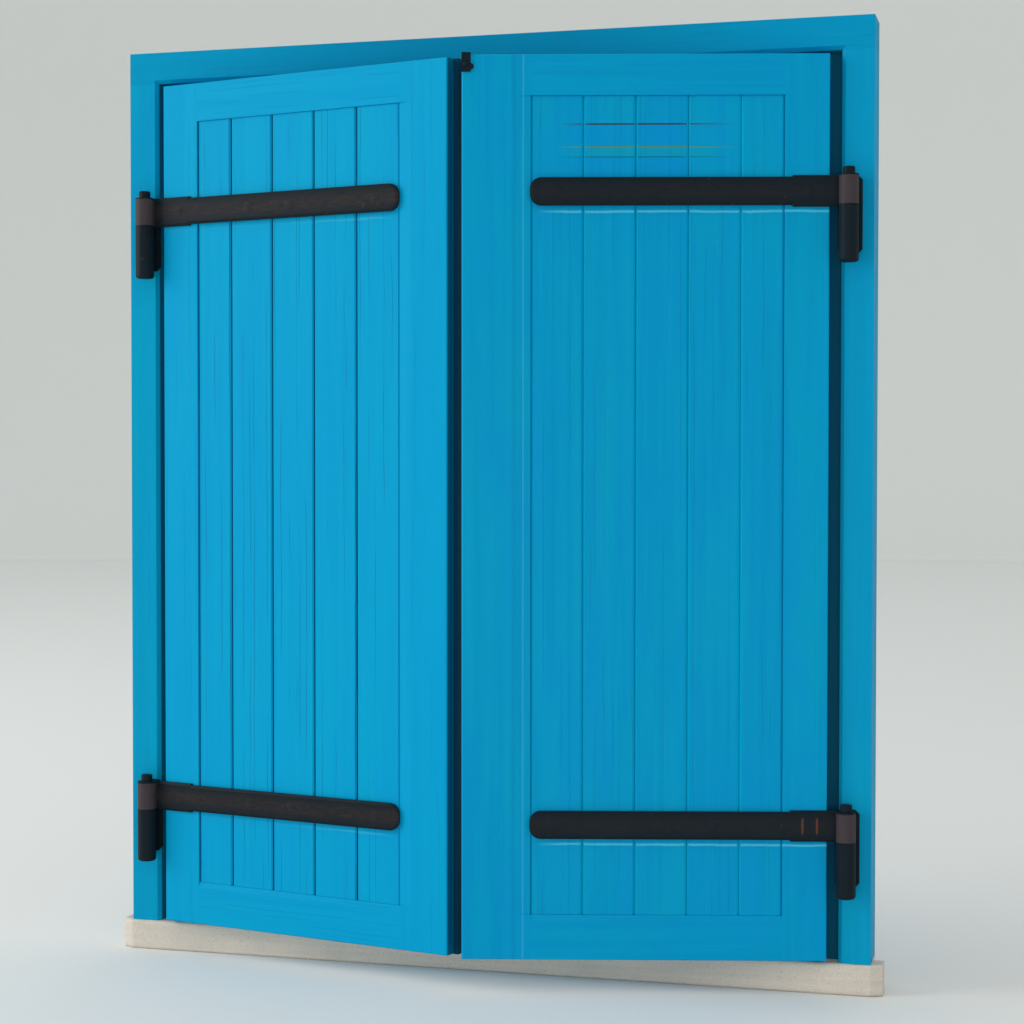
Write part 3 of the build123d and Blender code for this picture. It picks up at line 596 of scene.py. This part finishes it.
def spread_copies(tree, given, out, piece):
    """Ends a tree: one copy of the piece stands at each point, facing out and turned at random."""
    facing = put(tree, "FunctionNodeAlignRotationToVector", {"Vector": given["Facing"]}, axis="Z")
    angle = put(tree, "FunctionNodeRandomValue", {2: 0.0, 3: 2 * pi, "Seed": given["Seed"]}, give=1,
                data_type="FLOAT")
    spin = put(tree, "FunctionNodeAxisAngleToRotation", {"Axis": (0, 0, 1), "Angle": angle})
    turned = put(tree, "FunctionNodeRotateRotation", {"Rotation": facing, "Rotate By": spin},
                 rotation_space="LOCAL")
    copies = put(tree, "GeometryNodeInstanceOnPoints",
                 {"Points": given["Geometry"], "Instance": piece, "Rotation": turned})
    real = put(tree, "GeometryNodeRealizeInstances", [copies])
    coated = put(tree, "GeometryNodeSetMaterial", {"Geometry": real, "Material": given["Material"]})
    tree.links.new(coated, out.inputs[0])


def coach_bolt_tree():
    """Low domed head, plain shank and a rolled thread at the tail."""
    tree, given, out = new_tree("coach_bolts", [
        ("Facing", "Vector"), ("Head Radius", "Float"), ("Head Height", "Float"), ("Shank Radius", "Float"),
        ("Length", "Float"), ("Pitch", "Float"), ("Seed", "Int"), ("Material", "Material"),
    ])
    # the dome is a ring drawn along a short upright line, narrowing as a quarter circle does,
    # and only its flat underside isn't shaded smooth
    line = put(tree, "GeometryNodeCurvePrimitiveLine")
    line = put(tree, "GeometryNodeResampleCurve", {"Curve": line, "Count": 8})
    angle = put(tree, "ShaderNodeMath", [put(tree, "GeometryNodeSplineParameter"), DOME_TURN],
                operation="MULTIPLY")
    level = put(tree, "ShaderNodeMath", [put(tree, "ShaderNodeMath", [angle], operation="SINE"),
                                         given["Head Height"]], operation="MULTIPLY")
    width = put(tree, "ShaderNodeMath", [put(tree, "ShaderNodeMath", [angle], operation="COSINE"),
                                         given["Head Radius"]], operation="MULTIPLY")
    rise = put(tree, "ShaderNodeCombineXYZ", {"Z": level})
    line = put(tree, "GeometryNodeSetPosition", {"Geometry": line, "Position": rise})
    ring = put(tree, "GeometryNodeCurvePrimitiveCircle", {"Resolution": 40, "Radius": 1.0})
    dome = put(tree, "GeometryNodeCurveToMesh",
               {"Curve": line, "Profile Curve": ring, "Scale": width, "Fill Caps": True})
    up = put(tree, "ShaderNodeSeparateXYZ", [put(tree, "GeometryNodeInputNormal")], give="Z")
    rounded = put(tree, "FunctionNodeCompare", [up, -0.9], operation="GREATER_THAN")
    dome = put(tree, "GeometryNodeSetShadeSmooth", {"Geometry": dome, "Selection": rounded})
    half = put(tree, "ShaderNodeMath", [given["Length"], -0.5], operation="MULTIPLY")
    whole = put(tree, "ShaderNodeMath", [given["Length"], -1.0], operation="MULTIPLY")
    shank = put(tree, "GeometryNodeMeshCylinder",
                {"Vertices": 24, "Radius": given["Shank Radius"], "Depth": given["Length"]})
    shank = put(tree, "GeometryNodeTransform",
                {"Geometry": shank, "Translation": put(tree, "ShaderNodeCombineXYZ", {"Z": half})})
    threaded = put(tree, "ShaderNodeMath", [given["Pitch"], THREAD_TURNS], operation="MULTIPLY")
    spiral = put(tree, "GeometryNodeCurveSpiral", {
        "Resolution": 18, "Rotations": THREAD_TURNS, "Start Radius": given["Shank Radius"],
        "End Radius": given["Shank Radius"], "Height": threaded})
    tooth = put(tree, "ShaderNodeMath", [given["Pitch"], TOOTH_SHARE], operation="MULTIPLY")
    tooth = put(tree, "GeometryNodeCurvePrimitiveCircle", {"Resolution": 4, "Radius": tooth})
    thread = put(tree, "GeometryNodeCurveToMesh",
                 {"Curve": spiral, "Profile Curve": tooth, "Fill Caps": True})
    thread = put(tree, "GeometryNodeTransform",
                 {"Geometry": thread, "Translation": put(tree, "ShaderNodeCombineXYZ", {"Z": whole})})
    joined = put(tree, "GeometryNodeJoinGeometry", {"Geometry": dome}, give=None)
    tree.links.new(shank, joined.inputs[0])
    tree.links.new(thread, joined.inputs[0])
    spread_copies(tree, given, out, joined.outputs[0])
    return tree


def hex_nut_tree():
    """Hexagon nut with its outer corners turned off at thirty degrees and a plain bore."""
    tree, given, out = new_tree("hex_nuts", [
        ("Facing", "Vector"), ("Flats", "Float"), ("Height", "Float"), ("Bore", "Float"), ("Seed", "Int"),
        ("Material", "Material"),
    ])
    half = put(tree, "ShaderNodeMath", [given["Height"], 0.5], operation="MULTIPLY")
    corner = put(tree, "ShaderNodeMath", [given["Flats"], 1 / sqrt(3)], operation="MULTIPLY")
    block = put(tree, "GeometryNodeMeshCylinder",
                {"Vertices": 6, "Radius": corner, "Depth": given["Height"]})
    block = put(tree, "GeometryNodeTransform",
                {"Geometry": block, "Translation": put(tree, "ShaderNodeCombineXYZ", {"Z": half})})
    crown = put(tree, "ShaderNodeMath", [given["Flats"], CROWN_SHARE], operation="MULTIPLY")
    foot = put(tree, "ShaderNodeMath", [given["Height"], 1 / tan(NUT_CHAMFER), crown],
               operation="MULTIPLY_ADD")
    cone = put(tree, "GeometryNodeMeshCone",
               {"Vertices": 48, "Radius Top": crown, "Radius Bottom": foot, "Depth": given["Height"]})
    nut = put(tree, "GeometryNodeMeshBoolean", {"Mesh 2": block}, give=None, operation="INTERSECT",
              solver="EXACT")
    tree.links.new(cone, nut.inputs["Mesh 2"])
    deep = put(tree, "ShaderNodeMath", [given["Height"], 4.0], operation="MULTIPLY")
    drill = put(tree, "GeometryNodeMeshCylinder", {"Vertices": 32, "Radius": given["Bore"], "Depth": deep})
    bored = put(tree, "GeometryNodeMeshBoolean", {"Mesh 1": nut.outputs[0], "Mesh 2": drill},
                operation="DIFFERENCE", solver="EXACT")
    spread_copies(tree, given, out, bored)
    return tree


def wood_screw_tree():
    """Slotted countersunk wood screw, its head flush with the point it stands on."""
    tree, given, out = new_tree("wood_screws", [
        ("Facing", "Vector"), ("Head Radius", "Float"), ("Shank Radius", "Float"), ("Length", "Float"),
        ("Slot", "Float"), ("Seed", "Int"), ("Material", "Material"),
    ])
    sink = put(tree, "ShaderNodeMath", [given["Head Radius"], given["Shank Radius"]], operation="SUBTRACT")
    head = put(tree, "GeometryNodeMeshCone", {
        "Vertices": 32, "Radius Top": given["Head Radius"], "Radius Bottom": given["Shank Radius"],
        "Depth": sink})
    below = put(tree, "ShaderNodeMath", [sink, -1.0], operation="MULTIPLY")
    head = put(tree, "GeometryNodeTransform",
               {"Geometry": head, "Translation": put(tree, "ShaderNodeCombineXYZ", {"Z": below})})
    long = put(tree, "ShaderNodeMath", [given["Head Radius"], 3.0], operation="MULTIPLY")
    deep = put(tree, "ShaderNodeMath", [given["Slot"], 2.0], operation="MULTIPLY")
    slot = put(tree, "GeometryNodeMeshCube",
               {"Size": put(tree, "ShaderNodeCombineXYZ", [long, given["Slot"], deep])})
    head = put(tree, "GeometryNodeMeshBoolean", {"Mesh 1": head, "Mesh 2": slot}, operation="DIFFERENCE",
               solver="EXACT")
    rest = put(tree, "ShaderNodeMath", [given["Length"], sink], operation="SUBTRACT")
    body = put(tree, "GeometryNodeMeshCone", {
        "Vertices": 16, "Radius Top": given["Shank Radius"], "Radius Bottom": SCREW_TIP, "Depth": rest})
    tip = put(tree, "ShaderNodeMath", [given["Length"], -1.0], operation="MULTIPLY")
    body = put(tree, "GeometryNodeTransform",
               {"Geometry": body, "Translation": put(tree, "ShaderNodeCombineXYZ", {"Z": tip})})
    joined = put(tree, "GeometryNodeJoinGeometry", {"Geometry": head}, give=None)
    tree.links.new(body, joined.inputs[0])
    spread_copies(tree, given, out, joined.outputs[0])
    return tree


def grow(name, tree, points, values, body, node):
    """Runs a tree over points, keeps the result as a plain mesh and hands it to its body."""
    mesh = bpy.data.meshes.new(name)
    mesh.from_pydata([tuple(point) for point in points], [], [])
    piece = bpy.data.objects.new(name, mesh)
    bpy.context.collection.objects.link(piece)
    modifier = piece.modifiers.new("shape", "NODES")
    modifier.node_group = tree
    for item in tree.interface.items_tree:
        if item.in_out == "INPUT" and item.name in values:
            modifier[item.identifier] = values[item.name]
    shaped = piece.evaluated_get(bpy.context.evaluated_depsgraph_get())
    plain = bpy.data.meshes.new_from_object(shaped)
    if not len(plain.polygons):
        raise RuntimeError(f"{name} came out empty")
    piece.modifiers.remove(modifier)
    piece.data = plain
    plain.name = name
    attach(piece, body)
    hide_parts(node)


def paper_bowl(material):
    """A wide bowl of paper, which curves up far off, so the object is clear from every side."""
    turns = [step * pi / 2 / CURVE_STEPS for step in range(CURVE_STEPS + 1)]
    profile = [(BOWL_FLAT + BOWL_CURVE * sin(turn), BOWL_CURVE - BOWL_CURVE * cos(turn)) for turn in turns]
    profile.append((BOWL_FLAT + BOWL_CURVE, BOWL_HEIGHT))
    corners = [2 * pi * side / BOWL_SIDES for side in range(BOWL_SIDES)]
    paper = bmesh.new()
    rings = [[paper.verts.new((radius * cos(corner), radius * sin(corner), level)) for corner in corners]
             for radius, level in profile]
    # the flat middle isn't shaded smooth, or it would show dark patches
    paper.faces.new(rings[0])
    for lower, upper in zip(rings, rings[1:]):
        for side in range(BOWL_SIDES):
            paper.faces.new((lower[side - 1], lower[side], upper[side], upper[side - 1])).smooth = True
    mesh = bpy.data.meshes.new("paper_bowl")
    paper.to_mesh(mesh)
    paper.free()
    mesh.materials.append(material)
    return bpy.data.objects.new("paper_bowl", mesh)


def shared_material(name, make, *args):
    """The material of that name, made the first time it is asked for."""
    return bpy.data.materials.get(name) or make(name, *args)


class SHUTTERS_OT_frame(bpy.types.Operator):
    """Paints the head and the jambs of the frame"""

    bl_idname = "shutters.frame"
    bl_label = "Frame"

    def execute(self, context):
        paint = context.scene.shutters.paint
        head = painted_pine("brushed_paint_head", paint, paint.head, lying=True, edge=HEAD_FACE)
        jambs = painted_pine("brushed_paint_jambs", paint, paint.jamb, checks=0.3, edge=JAMB_FACE)
        paint_nodes(head, "frame_head")
        paint_nodes(jambs, "frame_jamb_left", "frame_jamb_right")
        return {"FINISHED"}


class SHUTTERS_OT_leaves(bpy.types.Operator):
    """Paints the stiles, rails, boards and ledges of both leaves"""

    bl_idname = "shutters.leaves"
    bl_label = "Leaves"

    def execute(self, context):
        paint = context.scene.shutters.paint
        for name, (checks, bands) in {"left": (0.8, 0.35), "right": (0.4, 0.7)}.items():
            look = {"leaf": name, "checks": checks, "bands": bands}
            stile = painted_pine(f"brushed_paint_{name}_stiles", paint, paint.leaf, **look)
            rail = painted_pine(f"brushed_paint_{name}_rails", paint, paint.leaf, lying=True, **look)
            board = painted_pine(f"brushed_paint_{name}_boards", paint, paint.leaf, boards=True, **look)
            paint_nodes(stile, f"{name}_hinge_stile", f"{name}_meeting_stile")
            lying = ("top_rail", "bottom_rail", "ledge_top", "ledge_bottom")
            paint_nodes(rail, *(f"{name}_{part}" for part in lying))
            paint_nodes(board, *(f"{name}_board_{number}" for number in range(1, 6)))
        return {"FINISHED"}


class SHUTTERS_OT_ironwork(bpy.types.Operator):
    """Blackens the straps, the pintles, the catch and the sliding bolts"""

    bl_idname = "shutters.ironwork"
    bl_label = "Ironwork"

    def execute(self, context):
        iron = context.scene.shutters.iron
        black = shared_material("blackened_wrought_iron", blackened_iron, iron)
        for end in ("top", "bottom"):
            for name in SIDES:
                paint_nodes(black, f"{name}_strap_{end}", f"pintle_{end}_{name}")
            paint_nodes(black, f"slide_plate_{end}", f"slide_rod_{end}")
        paint_nodes(black, "top_catch", "catch_screw")
        return {"FINISHED"}


class SHUTTERS_OT_coach_bolts(bpy.types.Operator):
    """Makes the coach bolts and nuts of the straps and gives their washers zinc"""

    bl_idname = "shutters.coach_bolts"
    bl_label = "Coach bolts"

    def execute(self, context):
        iron, sizes = context.scene.shutters.iron, context.scene.shutters.fixings
        black = shared_material("blackened_wrought_iron", blackened_iron, iron)
        zinc = shared_material("dull_zinc_plate", zinc_steel, iron)
        bolts, nuts = coach_bolt_tree(), hex_nut_tree()
        for seed, name in enumerate(SIDES):
            back = leaf_axes(name)[1]
            places = [(u, z) for u in BOLT_PLACES for z in strap_levels(name)]
            grow(f"{name}_coach_bolts", bolts,
                 [leaf_point(name, u, -STRAP_THICKNESS, z) for u, z in places],
                 {"Facing": -back, "Head Radius": sizes.head_radius, "Head Height": sizes.head_height,
                  "Shank Radius": sizes.bolt_radius - SHANK_RELIEF, "Length": sizes.bolt_length,
                  "Pitch": sizes.thread_pitch, "Seed": seed, "Material": black},
                 f"{name}_leaf", f"{name}_strap_bolts")
            rear = LEAF_THICKNESS + WASHER_THICKNESS
            grow(f"{name}_coach_nuts", nuts, [leaf_point(name, u, rear, z) for u, z in places],
                 {"Facing": back, "Flats": sizes.nut_flats, "Height": sizes.nut_height,
                  "Bore": sizes.bolt_radius, "Seed": seed + 5, "Material": zinc},
                 f"{name}_leaf", f"{name}_bolt_nuts")
            paint_nodes(zinc, f"{name}_bolt_washers")
        return {"FINISHED"}


class SHUTTERS_OT_pintle_nuts(bpy.types.Operator):
    """Makes the nuts behind the pintles and gives their washers zinc"""

    bl_idname = "shutters.pintle_nuts"
    bl_label = "Pintle nuts"

    def execute(self, context):
        iron, sizes = context.scene.shutters.iron, context.scene.shutters.fixings
        zinc = shared_material("dull_zinc_plate", zinc_steel, iron)
        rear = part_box("pintle_nuts")[0].y
        levels = [z + rise for z in strap_levels("left") for rise in STUD_RISES]
        pins = [side * abs(HINGES[name]["pos_m"][0]) for name, side in SIDES.items()]
        grow("pintle_hex_nuts", hex_nut_tree(), [(x, rear, z) for x in pins for z in levels],
             {"Facing": (0, 1, 0), "Flats": sizes.stud_nut_flats, "Height": sizes.stud_nut_height,
              "Bore": sizes.stud_nut_bore, "Seed": 11, "Material": zinc},
             "frame", "pintle_nuts")
        paint_nodes(zinc, "pintle_washers")
        return {"FINISHED"}


class SHUTTERS_OT_wood_screws(bpy.types.Operator):
    """Makes the slotted wood screws of the ledges and the sliding bolts"""

    bl_idname = "shutters.wood_screws"
    bl_label = "Wood screws"

    def execute(self, context):
        iron, sizes = context.scene.shutters.iron, context.scene.shutters.fixings
        zinc = shared_material("dull_zinc_plate", zinc_steel, iron)
        black = shared_material("blackened_wrought_iron", blackened_iron, iron)
        screws = wood_screw_tree()
        common = {
            "Head Radius": sizes.screw_head, "Shank Radius": sizes.screw_shank, "Slot": sizes.slot_width,
        }
        for seed, name in enumerate(SIDES):
            # one screw a board, above and below the middle of the ledge by turns
            places = [(u, z + (-1) ** board * SCREW_RISE) for z in strap_levels(name)
                      for board, u in enumerate(BOARD_MIDDLES)]
            grow(f"{name}_ledge_wood_screws", screws,
                 [leaf_point(name, u, LEAF_THICKNESS, z) for u, z in places],
                 {"Facing": leaf_axes(name)[1], "Length": sizes.ledge_screw_length, "Seed": seed,
                  "Material": zinc, **common},
                 f"{name}_leaf", f"{name}_ledge_screws")
        aside = SLIDE_PLATE_WIDTH / 2 - SLIDE_SCREW_INSET
        for end in ("top", "bottom"):
            low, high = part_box(f"slide_plate_{end}")
            points = [leaf_point("right", SLIDE_CENTRE + u, LEAF_THICKNESS + SLIDE_PLATE_THICKNESS, z)
                      for u in (-aside, aside)
                      for z in (low.z + SLIDE_SCREW_INSET, high.z - SLIDE_SCREW_INSET)]
            grow(f"slide_wood_screws_{end}", screws, points,
                 {"Facing": leaf_axes("right")[1], "Length": sizes.plate_screw_length, "Seed": 3,
                  "Material": black, **common},
                 "right_leaf", f"slide_screws_{end}")
        return {"FINISHED"}


class SHUTTERS_OT_sill(bpy.types.Operator):
    """Makes the stone sill with worn arrises and a dressed face"""

    bl_idname = "shutters.sill"
    bl_label = "Sill"

    def execute(self, context):
        stone = context.scene.shutters.stone
        mesh = frame["nodes"]["sill"].data.copy()
        solid = bmesh.new()
        solid.from_mesh(mesh)
        bmesh.ops.remove_doubles(solid, verts=solid.verts, dist=WELD_DISTANCE)
        solid.to_mesh(mesh)
        solid.free()
        piece = bpy.data.objects.new("cut_stone_sill", mesh)
        context.collection.objects.link(piece)
        cells = piece.modifiers.new("cells", "REMESH")
        cells.mode = "VOXEL"
        cells.voxel_size = stone.grain
        cells.use_smooth_shade = True
        plain = bpy.data.meshes.new_from_object(piece.evaluated_get(context.evaluated_depsgraph_get()))
        piece.modifiers.remove(cells)
        piece.data = plain
        # broad waves of 70 mm and small chips of 9 mm, all taken before any point moves
        moves = []
        for vertex in plain.vertices:
            at = vertex.co
            broad = noise.noise(at * (1000 / 70))
            small = noise.noise(at * (1000 / 9) + Vector((7, 3, 1)))
            moves.append(vertex.normal * stone.chipping * (0.9 * broad + 0.6 * small))
        for vertex, move in zip(plain.vertices, moves):
            if vertex.co.z > SEAT_HEIGHT:
                vertex.co += move
        plain.materials.clear()
        plain.materials.append(cut_stone("sawn_limestone", stone))
        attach(piece, "frame")
        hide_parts("sill")
        return {"FINISHED"}


class SHUTTERS_OT_stage(bpy.types.Operator):
    """Sets up the floor, the soft lights and the camera"""

    bl_idname = "shutters.stage"
    bl_label = "Stage"

    def execute(self, context):
        stage = context.scene.shutters.stage
        scene = context.scene
        scene.view_settings.view_transform = "Standard"
        bowl = paper_bowl(matt_paper("matt_background_paper", stage.floor))
        context.collection.objects.link(bowl)
        powers = {"key": stage.key_power, "low": stage.low_power}
        for label, (size, spread, place, aim) in LAMPS.items():
            lamp = bpy.data.lights.new(f"{label}_softbox", "AREA")
            lamp.energy = powers[label]
            lamp.size = size
            lamp.spread = radians(spread)
            holder = bpy.data.objects.new(f"{label}_softbox", lamp)
            holder.location = place
            holder.rotation_euler = (aim - place).to_track_quat("-Z", "Y").to_euler()
            holder.visible_camera = False
            context.collection.objects.link(holder)
        world = bpy.data.worlds.new("soft_room")
        world.use_nodes = True
        sky = world.node_tree.nodes["Background"].inputs
        sky["Color"].default_value = (1, 1, 1, 1)
        sky["Strength"].default_value = stage.sky
        scene.world = world
        lens = bpy.data.cameras.new("camera")
        lens.sensor_width = 36
        lens.lens = stage.lens
        camera = bpy.data.objects.new("camera", lens)
        pitch, roll, yaw = stage.turn
        camera.matrix_world = (
            Matrix.Translation(stage.place)
            @ Matrix.Rotation(yaw, 4, "Z")
            @ Matrix.Rotation(pi / 2 + pitch, 4, "X")
            @ Matrix.Rotation(roll, 4, "Z")
        )
        context.collection.objects.link(camera)
        scene.camera = camera
        return {"FINISHED"}


OPERATORS = (
    SHUTTERS_OT_frame,
    SHUTTERS_OT_leaves,
    SHUTTERS_OT_ironwork,
    SHUTTERS_OT_coach_bolts,
    SHUTTERS_OT_pintle_nuts,
    SHUTTERS_OT_wood_screws,
    SHUTTERS_OT_sill,
    SHUTTERS_OT_stage,
)


class SHUTTERS_PT_panel(bpy.types.Panel):
    """Lists the pieces in the order they are made"""

    bl_idname = "SHUTTERS_PT_panel"
    bl_label = "Shutters"
    bl_space_type = "VIEW_3D"
    bl_region_type = "UI"
    bl_category = "Shutters"

    def draw(self, context):
        settings = context.scene.shutters
        for operator in OPERATORS:
            self.layout.operator(operator.bl_idname)
        for group in (settings.paint, settings.iron, settings.stone, settings.fixings, settings.stage):
            box = self.layout.box()
            for key in group.bl_rna.properties.keys():
                if key not in ("rna_type", "name"):
                    box.prop(group, key)


GROUPS = (ShutterPaint, ShutterIron, ShutterStone, ShutterFixings, ShutterStage, ShutterSettings)
CLASSES = GROUPS + OPERATORS + (SHUTTERS_PT_panel,)


def register():
    for cls in CLASSES:
        bpy.utils.register_class(cls)
    bpy.types.Scene.shutters = bpy.props.PointerProperty(type=ShutterSettings)


def unregister():
    del bpy.types.Scene.shutters
    for cls in reversed(CLASSES):
        bpy.utils.unregister_class(cls)


def main():
    register()
    for operator in OPERATORS:
        group, name = operator.bl_idname.split(".")
        getattr(getattr(bpy.ops, group), name)()


if __name__ == "__main__":
    main()
